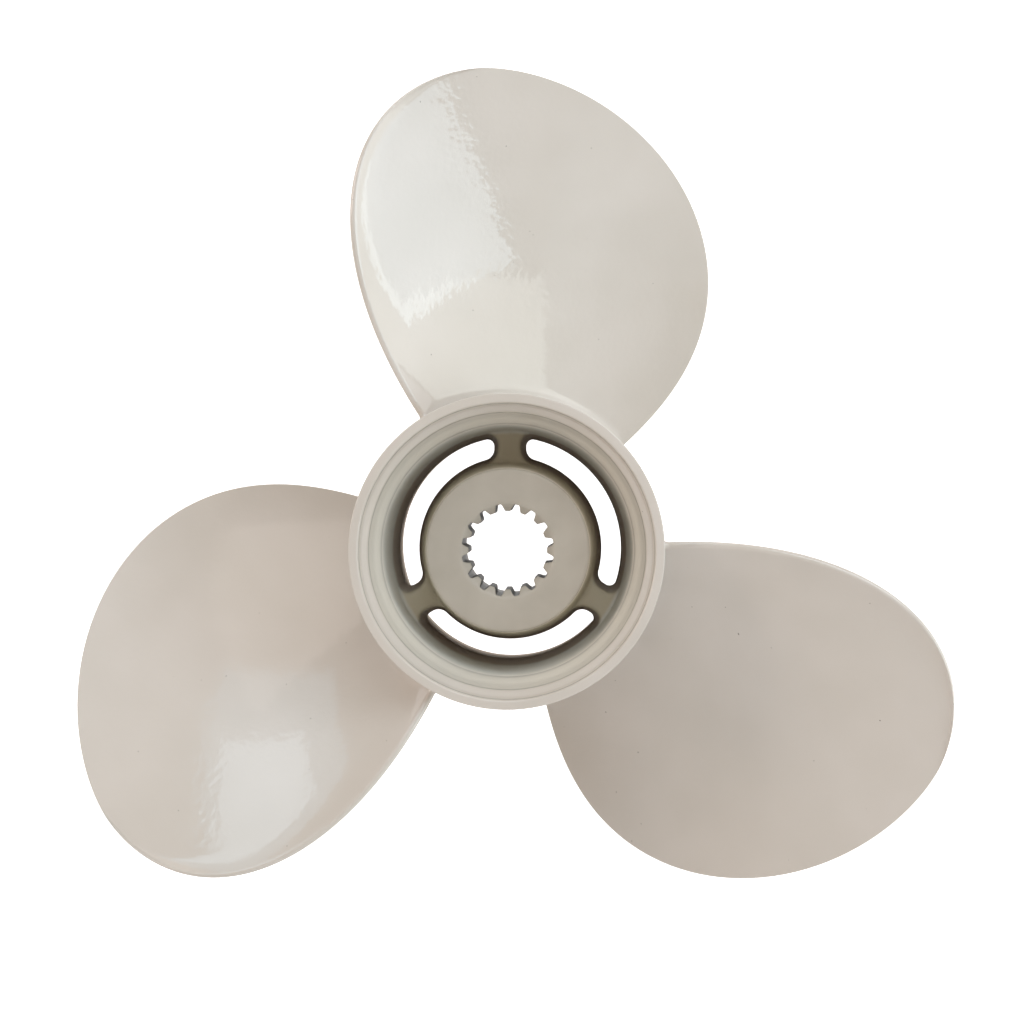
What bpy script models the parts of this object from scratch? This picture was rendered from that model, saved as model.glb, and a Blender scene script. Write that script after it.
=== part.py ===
"""Three-blade outboard boat propeller with exhaust through its hub.

One aluminium casting carries the blades: an outer barrel, an inner hub, three
ribs that join them, and three blades. A splined sleeve slides on the engine's
shaft, and a rubber damper pressed between the sleeve and the inner hub turns
the casting. Each region of the casting is a node of its own, a hairline apart
from the next, so that the passages between them stay open.

Frame: metres, the shaft axis along Y, +Y forward to the engine, -Y aft, +Z up.
The origin is on the axis, in the plane of the sleeve's aft face. A depth is a
distance forward from the aft rim of the barrel. Angles turn about the axis,
anticlockwise as seen from aft, from +X.
"""

import math

import bmesh
import bpy

# Sizes that can be set by themselves, in metres and degrees.
GAP = 0.0003                  # hairline between neighbouring pieces
EDGE_CHAMFER = 0.0015

SPLINE_TEETH = 16
SPLINE_MAJOR_RADIUS = 0.0164
SPLINE_TOOTH_HEIGHT = 0.0025
SPLINE_LENGTH = 0.042         # the bore is relieved forward of the teeth
SPLINE_LEAD_IN = 0.0006       # teeth start this much lower at either end
SPLINE_LEAD_IN_LENGTH = 0.002
SLEEVE_WALL = 0.0031          # metal outside the splines
SLEEVE_DEPTH = 0.020          # the sleeve's aft face, in from the aft rim
FLANGE_THICKNESS = 0.004
FLANGE_ROUNDING = 0.0012
SHANK_PROUD = 0.004           # how far the sleeve stands out of the hub in front

RUBBER_WALL = 0.0049
RUBBER_INSET = 0.008          # rubber stops this far inside the hub's front end
RUBBER_DISH = 0.0015          # hollow in each end of the rubber

HUB_AFT_WALL = 0.0040
HUB_WAIST_WALL = 0.0081
HUB_FRONT_WALL = 0.0062
HUB_SETBACK = 0.016           # inner hub's front end, back from the barrel's
HUB_SHOULDER_LENGTH = 0.006   # collar inside the aft end that stops the rubber

PASSAGE_WIDTH = 0.0079        # from inner hub to barrel at the waist
PARTING_DEPTH = 0.073         # the waist, where both drafts of the casting start

BARREL_LENGTH = 0.128
WAIST_WALL = 0.0130
FRONT_WALL = 0.0121
MOUTH_WALL = 0.0091
MOUTH_DEPTH = 0.022           # where the bell mouth meets the passage wall
MOUTH_BELLY = (0.55, 0.42)    # shares of depth and wall where the bell mouth bends
MOUTH_STEP_DEPTH = 0.004
MOUTH_STEP = 0.0030           # step from the rim's inner edge to the bell mouth
RIM_WIDTH = 0.0035            # flat face of the aft rim
RIM_FLARE = 0.0012            # how far the aft rim stands out past the barrel
RIM_FLARE_LENGTH = 0.008

RIB_COUNT = 3
RIB_AFT_SETBACK = 0.030       # ribs' aft ends, forward of the sleeve's aft face
RIB_FRONT_SETBACK = 0.006     # and their front ends, back from the inner hub's
RIB_AFT_WIDTH = 0.0079
RIB_WAIST_WIDTH = 0.0113
RIB_FRONT_WIDTH = 0.0080

BLADE_COUNT = 3
PROPELLER_RADIUS = 0.170
PITCH = 0.432                 # advance in one turn
RAKE = math.tan(math.radians(16))
BLADE_ROOT_DEPTH = 0.011      # trailing edge at the root
BLADE_ROOT_SETBACK = 0.0196   # leading edge at the root, back from the barrel's front
ROOT_MID_ANGLE = 82.6         # middle of the root chord of the upper blade
TIP_SKEW = 9.85               # degrees the tip lies back towards the trailing edge
SKEW_POWER = 2.75
CHORD_POWER = 1.87            # the two powers shape the blade's round outline
CHORD_ROUNDING = 0.55
ROOT_THICKNESS = 0.0095
TIP_THICKNESS = 0.0034
THICKNESS_TAPER = 0.8         # power that thins the blade towards its tip
SECTION_FULLNESS = 0.7        # power that rounds its section; 1 is a parabola
LEADING_EDGE = 0.0012
TRAILING_EDGE = 0.0026
CUP = 0.0016                  # trailing edge curls aft by this much
CUP_CHORD = 0.08              # over this share of the chord

# Numbers of facets.
BARREL_STEPS = 72
HUB_STEPS = 60
POINTS_PER_TOOTH = 6
RIB_COLUMNS = 5
BLADE_ROWS = 14
BLADE_COLUMNS = 20
TIP_ROW = 0.99                # last row of facets, short of the tip itself
TIP_CROWDING = 1.5            # power that crowds rows towards the tip
EDGE_ROWS = 3                 # rows through the blade's thickness

PAINT = (0.58, 0.53, 0.47, 1.0)
SLEEVE_PAINT = (0.52, 0.47, 0.41, 1.0)
RUBBER = (0.020, 0.020, 0.022, 1.0)

# Sizes that follow. Each ring is sized from the one inside it.
SPLINE_MINOR_RADIUS = SPLINE_MAJOR_RADIUS - SPLINE_TOOTH_HEIGHT
SHANK_RADIUS = SPLINE_MAJOR_RADIUS + SLEEVE_WALL
RUBBER_RADIUS = SHANK_RADIUS + GAP + RUBBER_WALL
HUB_BORE_RADIUS = RUBBER_RADIUS + GAP
HUB_AFT_RADIUS = HUB_BORE_RADIUS + HUB_AFT_WALL
HUB_WAIST_RADIUS = HUB_BORE_RADIUS + HUB_WAIST_WALL
HUB_FRONT_RADIUS = HUB_BORE_RADIUS + HUB_FRONT_WALL
BARREL_RADIUS = HUB_WAIST_RADIUS + PASSAGE_WIDTH + WAIST_WALL
BLADE_ROOT_RADIUS = BARREL_RADIUS + GAP

HUB_AFT_DEPTH = SLEEVE_DEPTH + FLANGE_THICKNESS + GAP
HUB_SHOULDER_DEPTH = HUB_AFT_DEPTH + HUB_SHOULDER_LENGTH
HUB_FRONT_DEPTH = BARREL_LENGTH - HUB_SETBACK
SLEEVE_FRONT_DEPTH = HUB_FRONT_DEPTH + SHANK_PROUD
RIB_AFT_DEPTH = SLEEVE_DEPTH + RIB_AFT_SETBACK
RIB_FRONT_DEPTH = HUB_FRONT_DEPTH - RIB_FRONT_SETBACK

BLADE_ROOT_LENGTH = BARREL_LENGTH - BLADE_ROOT_SETBACK - BLADE_ROOT_DEPTH
ROOT_HALF_CHORD = 180 * BLADE_ROOT_LENGTH / PITCH      # degrees either side of the middle


def lerp(a, b, share):
    return a + (b - a) * share


def along(points, depth):
    """Radius at a depth on a line through (depth, radius) points."""
    for (d0, r0), (d1, r1) in zip(points, points[1:]):
        if depth <= d1:
            return lerp(r0, r1, (depth - d0) / (d1 - d0))
    return points[-1][1]


def place(depth, radius, angle):
    """Point at a depth, a radius and an angle in degrees, in the part's frame."""
    turn = math.radians(angle)
    return (radius * math.cos(turn), depth - SLEEVE_DEPTH, radius * math.sin(turn))


def barrel_wall():
    """The barrel's inner wall, forward of the bell mouth, as (depth, radius)."""
    return [
        (MOUTH_DEPTH, BARREL_RADIUS - MOUTH_WALL),
        (PARTING_DEPTH, BARREL_RADIUS - WAIST_WALL),
        (BARREL_LENGTH - EDGE_CHAMFER, BARREL_RADIUS - FRONT_WALL),
    ]


def hub_outside():
    """The inner hub's outer surface, as (depth, radius)."""
    return [
        (HUB_AFT_DEPTH, HUB_AFT_RADIUS),
        (PARTING_DEPTH, HUB_WAIST_RADIUS),
        (HUB_FRONT_DEPTH, HUB_FRONT_RADIUS),
    ]


def new_material(name, colour, roughness, metallic=0.0):
    material = bpy.data.materials.new(name)
    material.use_nodes = True
    shader = material.node_tree.nodes["Principled BSDF"]
    shader.inputs["Base Color"].default_value = colour
    shader.inputs["Roughness"].default_value = roughness
    shader.inputs["Metallic"].default_value = metallic
    material.diffuse_color = colour
    return material


def new_object(name, mesh, parent, finish):
    obj = bpy.data.objects.new(name, mesh)
    bpy.context.scene.collection.objects.link(obj)
    obj.parent = parent
    obj.material_slots[0].link = "OBJECT"
    obj.material_slots[0].material = new_material(name + "_finish", *finish)
    return obj


def new_mesh(name, bm, sharp_angle=35):
    """Mesh from a closed bmesh, its faces turned out and shaded smooth."""
    bmesh.ops.recalc_face_normals(bm, faces=bm.faces)
    mesh = bpy.data.meshes.new(name)
    bm.to_mesh(mesh)
    bm.free()
    mesh.shade_smooth()
    mesh.set_sharp_from_angle(angle=math.radians(sharp_angle))
    mesh.materials.append(None)
    return mesh


def bridge(bm, first, second):
    """Faces between two closed rows of as many vertices."""
    for i in range(len(first)):
        j = (i + 1) % len(first)
        bm.faces.new((first[i], first[j], second[j], second[i]))


def turned(name, loop, steps):
    """Ring turned about the shaft axis from a closed loop of (depth, radius).

    A radius may be a function of the angle in degrees, as a splined bore's is.
    """
    bm = bmesh.new()
    rows = []
    for depth, radius in loop:
        row = []
        for i in range(steps):
            angle = 360 * i / steps
            size = radius(angle) if callable(radius) else radius
            row.append(bm.verts.new(place(depth, size, angle)))
        rows.append(row)
    for i, row in enumerate(rows):
        bridge(bm, row, rows[(i + 1) % len(rows)])
    return new_mesh(name, bm)


def make_barrel():
    rim = BARREL_RADIUS + RIM_FLARE
    mouth = rim - RIM_WIDTH
    step_depth = MOUTH_STEP_DEPTH + MOUTH_STEP
    wall = barrel_wall()
    outside = [
        (BARREL_LENGTH, BARREL_RADIUS - EDGE_CHAMFER),
        (BARREL_LENGTH - EDGE_CHAMFER, BARREL_RADIUS),
        (RIM_FLARE_LENGTH, BARREL_RADIUS),
        (EDGE_CHAMFER / 2, rim),
        (0, rim - EDGE_CHAMFER / 2),
    ]
    inside = [
        (0, mouth + EDGE_CHAMFER / 2),
        (EDGE_CHAMFER / 2, mouth),
        (MOUTH_STEP_DEPTH, mouth),
        (step_depth, mouth - MOUTH_STEP),
        (lerp(step_depth, MOUTH_DEPTH, MOUTH_BELLY[0]),
         lerp(mouth - MOUTH_STEP, wall[0][1], MOUTH_BELLY[1])),
    ]
    front = [(BARREL_LENGTH, wall[-1][1] + EDGE_CHAMFER)]
    return turned("barrel", outside + inside + wall + front, BARREL_STEPS)


def make_inner_hub():
    shoulder = SHANK_RADIUS + GAP
    outside = hub_outside()
    loop = outside[:-1] + [
        (HUB_FRONT_DEPTH - EDGE_CHAMFER, along(outside, HUB_FRONT_DEPTH - EDGE_CHAMFER)),
        (HUB_FRONT_DEPTH, HUB_FRONT_RADIUS - EDGE_CHAMFER),
        (HUB_FRONT_DEPTH, HUB_BORE_RADIUS + EDGE_CHAMFER),
        (HUB_FRONT_DEPTH - EDGE_CHAMFER, HUB_BORE_RADIUS),
        (HUB_SHOULDER_DEPTH, HUB_BORE_RADIUS),
        (HUB_SHOULDER_DEPTH, shoulder),
        (HUB_AFT_DEPTH, shoulder),
    ]
    return turned("inner_hub", loop, HUB_STEPS)


def spline_radius(lead_in):
    """Radius of the splined bore at an angle; a tooth stands at 0 degrees."""
    minor = min(SPLINE_MINOR_RADIUS + lead_in, SPLINE_MAJOR_RADIUS)
    def radius(angle):
        step = round(angle * SPLINE_TEETH * POINTS_PER_TOOTH / 360) % POINTS_PER_TOOTH
        on_tooth = min(step, POINTS_PER_TOOTH - step) <= 1
        return minor if on_tooth else SPLINE_MAJOR_RADIUS
    return radius


def make_sleeve():
    flange_front = SLEEVE_DEPTH + FLANGE_THICKNESS
    bulge = FLANGE_ROUNDING * (1 - math.sqrt(0.5))
    narrow = spline_radius(0)
    wide = spline_radius(SPLINE_LEAD_IN)
    relieved = spline_radius(SPLINE_TOOTH_HEIGHT)
    spline_front = SLEEVE_DEPTH + SPLINE_LENGTH
    loop = [
        (SLEEVE_DEPTH, wide),
        (SLEEVE_DEPTH, HUB_AFT_RADIUS - FLANGE_ROUNDING),
        (SLEEVE_DEPTH + bulge, HUB_AFT_RADIUS - bulge),
        (SLEEVE_DEPTH + FLANGE_ROUNDING, HUB_AFT_RADIUS),
        (flange_front, HUB_AFT_RADIUS),
        (flange_front, SHANK_RADIUS),
        (SLEEVE_FRONT_DEPTH - EDGE_CHAMFER / 2, SHANK_RADIUS),
        (SLEEVE_FRONT_DEPTH, SHANK_RADIUS - EDGE_CHAMFER / 2),
        (SLEEVE_FRONT_DEPTH, relieved),
        (spline_front + SPLINE_LEAD_IN_LENGTH, relieved),
        (spline_front, narrow),
        (SLEEVE_DEPTH + SPLINE_LEAD_IN_LENGTH, narrow),
    ]
    return turned("splined_sleeve", loop, SPLINE_TEETH * POINTS_PER_TOOTH)


def make_damper():
    inner = RUBBER_RADIUS - RUBBER_WALL
    middle = RUBBER_RADIUS - RUBBER_WALL / 2
    aft = HUB_SHOULDER_DEPTH + GAP
    front = HUB_FRONT_DEPTH - RUBBER_INSET
    loop = [
        (aft, RUBBER_RADIUS),
        (front, RUBBER_RADIUS),
        (front - RUBBER_DISH, middle),
        (front, inner),
        (aft, inner),
        (aft + RUBBER_DISH, middle),
    ]
    return turned("rubber_damper", loop, HUB_STEPS)


def rib_section(depth, width):
    """Closed row of a rib's points at one depth, curved to hub and barrel."""
    inner = along(hub_outside(), depth) + GAP
    outer = along(barrel_wall(), depth) - GAP
    row = []
    for radius, order in ((inner, 1), (outer, -1)):
        for i in range(RIB_COLUMNS)[::order]:
            x = width * (i / (RIB_COLUMNS - 1) - 0.5)
            height = math.sqrt(radius * radius - x * x)
            row.append((x, depth - SLEEVE_DEPTH, height))
    return row


def make_rib():
    """The rib that stands straight up from the hub."""
    bm = bmesh.new()
    stations = (
        (RIB_AFT_DEPTH, RIB_AFT_WIDTH),
        (PARTING_DEPTH, RIB_WAIST_WIDTH),
        (RIB_FRONT_DEPTH, RIB_FRONT_WIDTH),
    )
    rows = [[bm.verts.new(p) for p in rib_section(*s)] for s in stations]
    for first, second in zip(rows, rows[1:]):
        bridge(bm, first, second)
    for row in (rows[0], rows[-1]):
        for i in range(RIB_COLUMNS - 1):
            last = len(row) - 1 - i
            bm.faces.new((row[i], row[i + 1], row[last - 1], row[last]))
    return new_mesh("rib", bm)


def blade_thickness(share, chord):
    """Thickness at a share of the way to the tip and a share of the chord."""
    thickest = lerp(ROOT_THICKNESS, TIP_THICKNESS, share ** THICKNESS_TAPER)
    edge = lerp(LEADING_EDGE, TRAILING_EDGE, chord)
    return edge + (thickest - edge) * (4 * chord * (1 - chord)) ** SECTION_FULLNESS


def blade_point(radius, chord, through):
    """Point of the upper blade.

    chord runs from 0 on the leading edge to 1 on the trailing edge, and through
    from 0 on the aft pressure face to 1 on the forward face.
    """
    out = radius - BLADE_ROOT_RADIUS
    share = out / (PROPELLER_RADIUS - BLADE_ROOT_RADIUS)
    middle = ROOT_MID_ANGLE + TIP_SKEW * share ** SKEW_POWER
    half = ROOT_HALF_CHORD * max(1 - share ** CHORD_POWER, 0) ** CHORD_ROUNDING
    angle = middle + half * (2 * chord - 1)
    round_from_root = ROOT_MID_ANGLE + ROOT_HALF_CHORD - angle
    depth = BLADE_ROOT_DEPTH + PITCH / 360 * round_from_root - RAKE * out
    depth -= CUP * max(0, (chord - 1 + CUP_CHORD) / CUP_CHORD) ** 2
    slope = math.atan2(PITCH, math.tau * radius)
    offset = through * blade_thickness(share, chord)
    angle += math.degrees(offset * math.sin(slope) / radius)
    return place(depth + offset * math.cos(slope), radius, angle)


def blade_section(bm, radius, filled):
    """Rows of a section's vertices, from its aft face through to its forward face.

    The rows between the two faces hold the edges only, unless it is filled.
    """
    rows = []
    for i in range(EDGE_ROWS + 1):
        row = []
        for c in range(BLADE_COLUMNS + 1):
            if filled or i in (0, EDGE_ROWS) or c in (0, BLADE_COLUMNS):
                chord = 0.5 - 0.5 * math.cos(math.pi * c / BLADE_COLUMNS)
                row.append(bm.verts.new(blade_point(radius, chord, i / EDGE_ROWS)))
        rows.append(row)
    return rows


def section_outline(rows):
    """The closed row of vertices round a section."""
    trailing = [row[-1] for row in rows[1:-1]]
    leading = [row[0] for row in rows[-2:0:-1]]
    return rows[0] + trailing + rows[-1][::-1] + leading


def make_blade():
    """The blade that points straight up."""
    bm = bmesh.new()
    sections = []
    for i in range(BLADE_ROWS + 1):
        share = 1 - (1 - TIP_ROW * i / BLADE_ROWS) ** TIP_CROWDING
        radius = lerp(BLADE_ROOT_RADIUS, PROPELLER_RADIUS, share)
        sections.append(blade_section(bm, radius, filled=i in (0, BLADE_ROWS)))
    for lower, upper in zip(sections, sections[1:]):
        bridge(bm, section_outline(lower), section_outline(upper))
    for cap in (sections[0], sections[-1]):
        for first, second in zip(cap, cap[1:]):
            for i in range(BLADE_COLUMNS):
                bm.faces.new((first[i], first[i + 1], second[i + 1], second[i]))
    return new_mesh("blade", bm)


def new_axis(name):
    axis = bpy.data.objects.new(name, None)
    bpy.context.scene.collection.objects.link(axis)
    return axis


def main():
    for obj in list(bpy.data.objects):
        bpy.data.objects.remove(obj)

    paint = (PAINT, 0.22)
    shaft_axis = new_axis("shaft_axis")
    propeller_axis = new_axis("propeller_axis")
    propeller_axis.parent = shaft_axis

    new_object("splined_sleeve", make_sleeve(), shaft_axis, (SLEEVE_PAINT, 0.38))
    new_object("rubber_damper", make_damper(), shaft_axis, (RUBBER, 0.75))
    new_object("barrel", make_barrel(), propeller_axis, paint)
    new_object("inner_hub", make_inner_hub(), propeller_axis, paint)

    for kind, mesh, count in (("rib", make_rib(), RIB_COUNT), ("blade", make_blade(), BLADE_COUNT)):
        for i in range(count):
            obj = new_object(f"{kind}_{i + 1}", mesh, propeller_axis, paint)
            obj.rotation_euler.y = math.tau * i / count


main()
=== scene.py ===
"""Looks of the boat propeller: one seamless painted casting, its splined sleeve and its rubber.

The casting is built from patches of four-sided faces that share their borders, so the fillets
at the blade roots, ribs and rims are real geometry. Lengths are in millimetres until a mesh is
made. A depth is a distance forward from the barrel's aft rim, and angles turn about the shaft
axis, anticlockwise as seen from aft, from +X.
"""

import math

import bmesh
import bpy
import numpy as np
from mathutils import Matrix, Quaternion, Vector


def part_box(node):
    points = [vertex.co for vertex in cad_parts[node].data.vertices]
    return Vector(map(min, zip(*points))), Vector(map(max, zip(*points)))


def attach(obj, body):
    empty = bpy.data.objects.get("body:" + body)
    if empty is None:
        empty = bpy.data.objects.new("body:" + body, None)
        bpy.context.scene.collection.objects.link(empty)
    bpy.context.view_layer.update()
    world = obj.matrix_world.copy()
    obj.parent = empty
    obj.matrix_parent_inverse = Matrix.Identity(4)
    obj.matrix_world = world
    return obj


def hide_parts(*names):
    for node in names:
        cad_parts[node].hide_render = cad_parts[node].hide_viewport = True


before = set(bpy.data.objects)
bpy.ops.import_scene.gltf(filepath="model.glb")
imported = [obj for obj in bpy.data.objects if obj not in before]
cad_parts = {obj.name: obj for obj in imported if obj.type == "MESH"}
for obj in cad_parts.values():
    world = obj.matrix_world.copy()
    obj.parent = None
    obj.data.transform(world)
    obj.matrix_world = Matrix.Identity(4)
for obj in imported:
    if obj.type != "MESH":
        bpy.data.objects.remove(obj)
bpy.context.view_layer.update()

# ---------------------------------------------------------------- sizes, from the frame
MM = 1000.0
barrel_low, barrel_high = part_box("barrel")
hub_low, hub_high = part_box("inner_hub")
sleeve_low, sleeve_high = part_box("splined_sleeve")
rubber_low, rubber_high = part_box("rubber_damper")
rib_low, rib_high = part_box("rib_1")
AFT = barrel_low.y * MM                      # where depth 0 lies on the Y axis


def depth_of(y):
    """A place along the Y axis as a depth in mm."""
    return y * MM - AFT


LENGTH = depth_of(barrel_high.y)
RIM_RADIUS = barrel_high.x * MM
RIM_FLARE, FLARE_START, FLARE_LENGTH = 1.2, 0.8, 6.2
BARREL_RADIUS = RIM_RADIUS - RIM_FLARE
SLEEVE_DEPTH = depth_of(sleeve_low.y)
SLEEVE_FRONT = depth_of(sleeve_high.y)
HUB_AFT = depth_of(hub_low.y)
HUB_FRONT = depth_of(hub_high.y)
RIB_AFT = depth_of(rib_low.y)
RIB_FRONT = depth_of(rib_high.y)
RUBBER_AFT = depth_of(rubber_low.y)
RUBBER_FRONT = depth_of(rubber_high.y)
RUBBER_RADIUS = rubber_high.x * MM
FLANGE_RADIUS = sleeve_high.x * MM
GAP = 0.3                                    # hairline between the rubber and the sleeve

# ---------------------------------------------------------------- sizes of the casting, in mm
WAIST = 73.0                                 # parting plane of the casting
RIM_WIDTH, RIM_LIP = 3.5, 0.9                # flat of the aft rim, and the lip inside it
MOUTH_STEP, MOUTH_STEP_DEPTH = 3.0, 4.0      # step from the rim's inner edge to the bell mouth
MOUTH_DEPTH = 22.0
MOUTH_BELLY = (0.55, 0.42)                   # shares of depth and wall where the bell mouth bends
FRONT_CHAMFER = 1.5
MOUTH_ROUNDING, END_ROUNDING = 1.8, 1.0      # corners of the mouth, and of the hub and the front
RIM_ROUND = 0.9                              # the outer patches start this far from the rim's face
FRONT_ROUND = LENGTH - 1.6                   # and end at this depth

# outlines through the casting, as (depth, size) points
WALL = (
    (MOUTH_DEPTH, BARREL_RADIUS - 9.1),
    (WAIST, BARREL_RADIUS - 13.0),
    (LENGTH, BARREL_RADIUS - 12.1),
)
HUB = ((HUB_AFT, 29.0), (WAIST, 33.1), (HUB_FRONT, 31.2))
RIB_WIDTH = ((RIB_AFT, 7.9), (WAIST, 11.3), (RIB_FRONT, 8.0))

HUB_BORE, COLLAR_BORE, COLLAR_LENGTH = 25.0, 19.8, 6.0
RIB_FILLET = 2.0                             # between a rib's end and the walls
RIB_LIP = 1.5                                # round of a rib's end into the passages
HUB_RUN, FRONT_RUN = 1.5, 3.0                # plain hub and wall past the ribs' front fillets
AFT_RUN = 4.0                                # and past their aft fillets
PASSAGE_ANGLES = (150, 270, 30)              # middles of the passages, between the ribs
PASSAGE_LEDGE = 0.12                         # passages are this much inside the walls
CORNER_OUTER, CORNER_INNER = 0.34, 0.58      # corner rounds, as shares of the passage's width
FLASH, FLASH_HALF = 0.25, 0.5                # ridge left by the mould at the waist

ROOT_FILLET, EDGE_FILLET = 5.5, 3.0
PROPELLER_RADIUS = 169.95
PITCH = 432.0
RAKE = math.tan(math.radians(16))
ROOT_DEPTH = 11.0                            # of the trailing end of a blade's root
ROOT_MID, ROOT_HALF = 82.6, 40.58            # degrees
ROOT_LEAD = 4.0                              # degrees from the root's middle to its patch's
TIP_SKEW, SKEW_POWER = 9.85, 2.75            # degrees, and how late the skew sets in
CHORD_POWER, CHORD_ROUNDING = 1.87, 0.55
ROOT_THICKNESS, TIP_THICKNESS = 9.5, 3.4
THICKNESS_TAPER, SECTION_FULLNESS = 0.8, 0.7
LEADING_EDGE, TRAILING_EDGE = 1.3, 2.7       # thicknesses of the edges
TIP_ROUND, EDGE_ROUNDING = 1.7, 1.6          # how the tip rounds off along the span and the chord
CUP, CUP_CHORD = 1.6, 0.08                   # depth of the cup, and its share of the chord

# numbers of rows and columns, and how they are spaced
ARC = 36                                     # columns in a third of a circle
CHORD = 60                                   # columns along a blade's face, and along its back
SPAN = 66                                    # rows from a blade's root to its tip
PATCH_ROWS, FILLET_ROWS = 15, 10             # rows of the barrel round a blade, and of its fillet
FILLET_BLEND = 8                             # columns over which the fillet grows to full size
SIDE = 14                                    # columns along a passage's end
CORNER_STEPS, SIDE_STEPS = 24, 40            # points along a passage's outline, before spacing
BEND_WEIGHT = 15.0                           # mm of outline that a radian of bend counts for
RIB_ROWS, TUBE_ROWS = 17, 11                 # rows over a rib's end, and along each half passage
EVENNESS = 0.35                              # 1 spaces a blade's columns evenly along the chord
PATCH_POWER = 1.4                            # above 1, rows draw together at the fillet's foot
FIRST_STEP = 0.12                            # the nearer 0, the closer the rows at the root


# ---------------------------------------------------------------- mesh helpers
class Shell:
    """Collects patches of four-sided faces, and welds them into one closed mesh."""

    def __init__(self):
        self.points, self.faces, self.count = [], [], 0

    def grid(self, rows, closed=False):
        """Faces between rows of points; closed joins each row's end to its start."""
        rows = np.asarray(rows, float)
        n_rows, n_columns = rows.shape[:2]
        index = self.count + np.arange(n_rows * n_columns).reshape(n_rows, n_columns)
        if closed:
            index = np.concatenate([index, index[:, :1]], axis=1)
        quads = np.stack([index[:-1, :-1], index[:-1, 1:], index[1:, 1:], index[1:, :-1]], -1)
        self.points.append(rows.reshape(-1, 3))
        self.faces.append(quads.reshape(-1, 4))
        self.count += n_rows * n_columns

    def make(self, name, weld=0.002):
        """Welds the patches into an object in metres, and prints its open edges."""
        points = np.concatenate(self.points)
        bm = bmesh.new()
        verts = [bm.verts.new(p) for p in points]
        for quad in np.concatenate(self.faces):
            bm.faces.new([verts[i] for i in quad])
        bmesh.ops.remove_doubles(bm, verts=bm.verts, dist=weld)
        bmesh.ops.recalc_face_normals(bm, faces=bm.faces)
        open_edges = sum(1 for e in bm.edges if len(e.link_faces) != 2)
        bmesh.ops.scale(bm, vec=(1 / MM,) * 3, verts=bm.verts)
        mesh = bpy.data.meshes.new(name)
        bm.to_mesh(mesh)
        bm.free()
        mesh.shade_smooth()
        obj = bpy.data.objects.new(name, mesh)
        bpy.context.scene.collection.objects.link(obj)
        print(name, len(mesh.polygons), "faces,", open_edges, "open edges")
        return obj


def place(angle, radius, depth):
    """Points of the frame, in mm, from arrays of angles, radii and depths."""
    angle, radius, depth = np.broadcast_arrays(np.radians(angle), radius, depth)
    return np.stack([radius * np.cos(angle), depth + AFT, radius * np.sin(angle)], -1)


def along(line, depth):
    """Value at a depth on a line through (depth, value) points."""
    depths, values = zip(*line)
    return np.interp(depth, depths, values)


def smooth(t):
    """Goes from 0 to 1 with level ends."""
    t = np.clip(t, 0, 1)
    return t * t * (3 - 2 * t)


def barrel_outside(depth):
    """The barrel's outer radius, flared at the aft rim."""
    return BARREL_RADIUS + RIM_FLARE * (1 - smooth((depth - FLARE_START) / FLARE_LENGTH))


def rounded(points, radius, steps=5):
    """A profile with the corners between its ends rounded off, as (depth, radius) points."""
    points = [np.array(p, float) for p in points]
    out = [points[0]]
    for before, corner, after in zip(points, points[1:], points[2:]):
        a, b = before - corner, after - corner
        la, lb = np.linalg.norm(a), np.linalg.norm(b)
        cut = min(radius, 0.45 * la, 0.45 * lb)
        start, end = corner + a / la * cut, corner + b / lb * cut
        for t in np.linspace(0, 1, steps):
            out.append((1 - t) ** 2 * start + 2 * t * (1 - t) * corner + t * t * end)
    out.append(points[-1])
    return out


# ---------------------------------------------------------------- blades
def blade_share(radius):
    """How far out a radius lies, from 0 at the root to 1 at the tip."""
    return np.clip((radius - BARREL_RADIUS) / (PROPELLER_RADIUS - BARREL_RADIUS), 0, 1)


def column_place(column):
    """Where columns lie on a section: shares of chord and thickness, and bulges past each end.

    Columns run along the aft face from the leading to the trailing edge, round that edge, back
    along the forward face and round the leading edge.
    """
    column = np.mod(column, 2 * (CHORD + ARC))
    on_face = column < CHORD
    on_trail = (column >= CHORD) & (column < CHORD + ARC)
    on_back = (column >= CHORD + ARC) & (column < 2 * CHORD + ARC)
    on_lead = column >= 2 * CHORD + ARC
    even = np.select(
        [on_face, on_trail, on_back],
        [column / CHORD, 1.0, 1 - (column - CHORD - ARC) / CHORD], 0.0)
    chord = EVENNESS * even + (1 - EVENNESS) * (0.5 - 0.5 * np.cos(math.pi * even))
    turn = np.select(
        [on_trail, on_lead],
        [(column - CHORD) / ARC, (column - 2 * CHORD - ARC) / ARC], 0.0) * math.pi
    through = np.select(
        [on_face, on_trail, on_back],
        [0.0, 0.5 - 0.5 * np.cos(turn), 1.0], 0.5 + 0.5 * np.cos(turn))
    return chord, through, np.where(on_trail, np.sin(turn), 0.0), np.where(on_lead, np.sin(turn), 0.0)


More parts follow.
